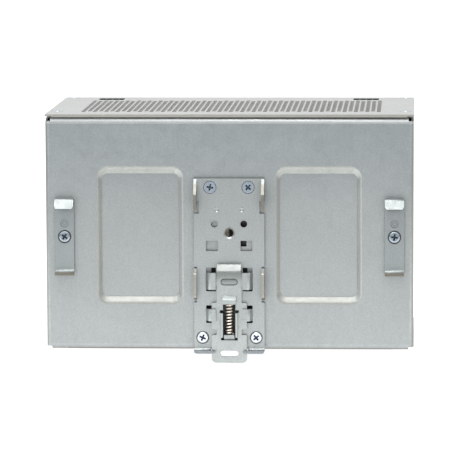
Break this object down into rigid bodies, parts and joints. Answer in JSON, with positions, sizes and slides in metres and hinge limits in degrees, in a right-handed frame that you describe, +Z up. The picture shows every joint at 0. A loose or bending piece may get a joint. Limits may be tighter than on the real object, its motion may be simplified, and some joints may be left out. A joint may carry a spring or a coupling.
{
  "type": "din rail power supply",
  "caption": "Boxed power supply in folded galvanised sheet with vented covers, clipped to a mounting rail by a central plate with a sprung latch and two side hooks.",
  "frame": {"origin": "middle of the mounting rail on the plane its flanges seat against, halfway across the case", "axes": "+X along the rail to the right when facing the rail side, +Y from the rail into the case towards the front panel, +Z up"},
  "size_m": [0.1934, 0.1265, 0.1306],
  "materials": {
    "tray_steel": "galvanised sheet, matt",
    "cover_steel": "galvanised sheet, matt",
    "plate_steel": "galvanised pressing, matt",
    "latch_steel": "galvanised pressing, matt",
    "bracket_steel": "galvanised pressing, matt",
    "blue_zinc": "blue zinc plate",
    "bright_nickel": "nickel plate",
    "spring_wire": "drawn wire",
    "film": "black film",
    "board": "solder-masked laminate",
    "studs": "plain",
    "ferrite": "sintered ferrite",
    "coil_tape": "wound tape",
    "enamel_wire": "enamelled copper",
    "dark_plastic": "moulded",
    "film_capacitor": "moulded box",
    "fuse_glass": "clear",
    "disc_coating": "dipped",
    "can_sleeve": "shrunk sleeve",
    "heatsink_metal": "extruded",
    "copper_bar": "tinned copper",
    "wire_jacket": "insulation",
    "terminal_green": "moulded",
    "terminal_screw": "zinc plate",
    "lamp": "translucent",
    "light_pipe": "clear",
    "trimmer_body": "moulded",
    "trimmer_rotor": "moulded"
  },
  "bodies": {
    "case": {"chassis_tray": "tray_steel", "top_cover": "cover_steel", "bottom_cover": "cover_steel", "front_panel": "cover_steel", "rail_plate": "plate_steel", "centre_nut": "plate_steel", "side_bracket_left": "bracket_steel", "side_bracket_right": "bracket_steel", "plate_upper_screws": "blue_zinc", "bracket_screws": "blue_zinc", "cover_screws": "blue_zinc", "front_panel_screws": "blue_zinc", "pcb_screws": "blue_zinc", "front_board_screws": "blue_zinc", "plate_lower_screws": "bright_nickel", "latch_spring": "spring_wire", "insulation_sheet": "film", "main_pcb": "board", "control_pcb": "board", "output_pcb": "board", "pcb_standoffs": "studs", "front_spacers": "studs", "transformer_core": "ferrite", "pfc_choke_core": "ferrite", "output_choke_core": "ferrite", "transformer_winding": "coil_tape", "pfc_choke_winding": "enamel_wire", "output_choke_winding": "enamel_wire", "emi_choke": "dark_plastic", "relay": "dark_plastic", "switching_transistors": "dark_plastic", "bridge_rectifier": "dark_plastic", "output_rectifiers": "dark_plastic", "x_capacitors": "film_capacitor", "input_fuse": "fuse_glass", "varistor": "disc_coating", "bulk_capacitors": "can_sleeve", "output_capacitors": "can_sleeve", "primary_heatsink": "heatsink_metal", "secondary_heatsink": "heatsink_metal", "output_busbars": "copper_bar", "input_leads": "wire_jacket", "signal_ribbon": "wire_jacket", "input_terminal_block": "terminal_green", "signal_terminal_block": "terminal_green", "output_terminal_block": "terminal_green", "input_terminal_screws": "terminal_screw", "signal_terminal_screws": "terminal_screw", "output_terminal_screws": "terminal_screw", "status_leds": "lamp", "light_pipes": "light_pipe", "trim_pot_body": "trimmer_body"},
    "latch": {"latch_slide": "latch_steel"},
    "trimmer": {"trim_pot_rotor": "trimmer_rotor"}
  },
  "joints": [
    {"name": "latch_release", "type": "slide", "parent": "case", "child": "latch", "axis": [0, 0, -1], "range_m": [0, 0.006], "stiffness_N_per_m": 1000, "springref_m": -0.01, "deforming": ["latch_spring"]},
    {"name": "output_trim", "type": "hinge", "parent": "case", "child": "trimmer", "pos_m": [0.028, 0.112, 0.044], "axis": [0, 1, 0], "range_deg": [-135, 135]}
  ]
}
